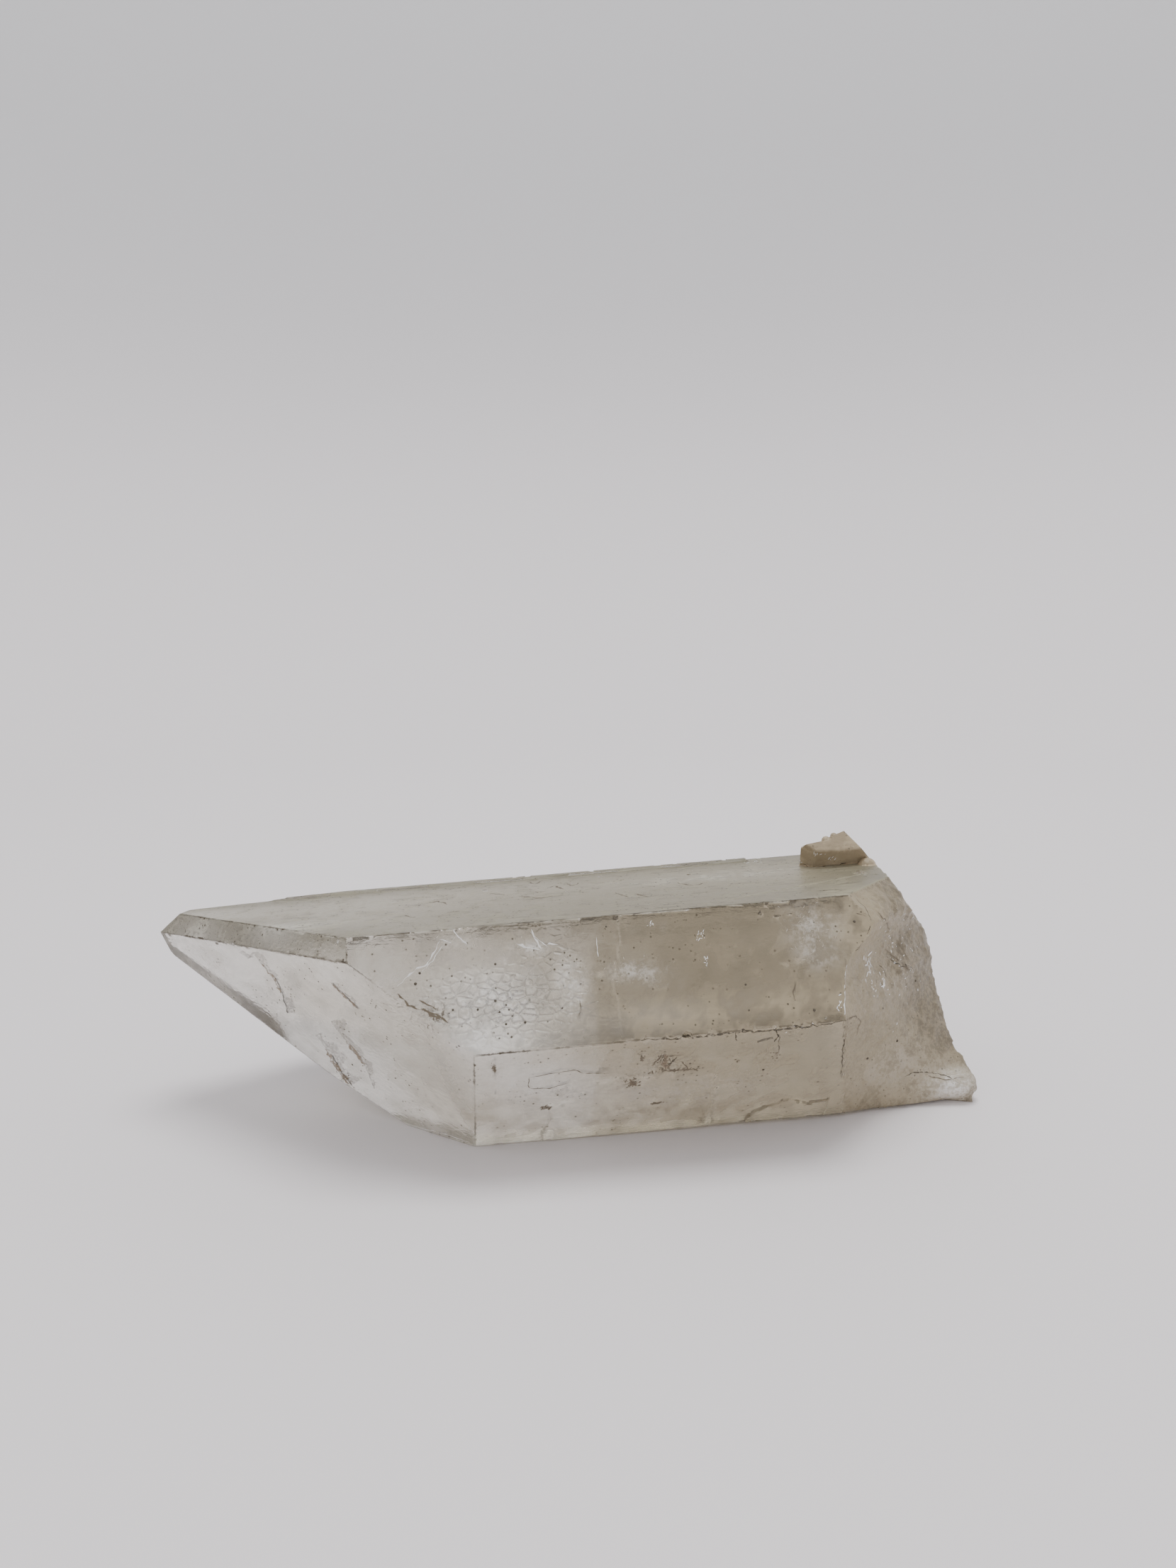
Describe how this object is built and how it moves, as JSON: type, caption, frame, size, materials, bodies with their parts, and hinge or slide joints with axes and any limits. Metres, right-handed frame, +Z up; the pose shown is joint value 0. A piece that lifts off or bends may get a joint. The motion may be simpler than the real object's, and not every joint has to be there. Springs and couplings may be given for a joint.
{
  "type": "quartz crystal",
  "caption": "Clear to milky quartz point lying on a prism face, with a small stub crystal grown near its rough, broken base.",
  "frame": {"origin": "middle of the bounding box's foot, on the surface that the crystal lies on", "axes": "+X from the point towards the broken base, along the crystal's length; +Y from the front to the back; +Z up from the resting face"},
  "size_m": [0.166, 0.0644, 0.053],
  "materials": {
    "quartz": "glossy natural faces, clear inside with milky patches, veils and brown stains in its fractures"
  },
  "bodies": {
    "root": {"quartz_crystal": "quartz"}
  },
  "joints": []
}
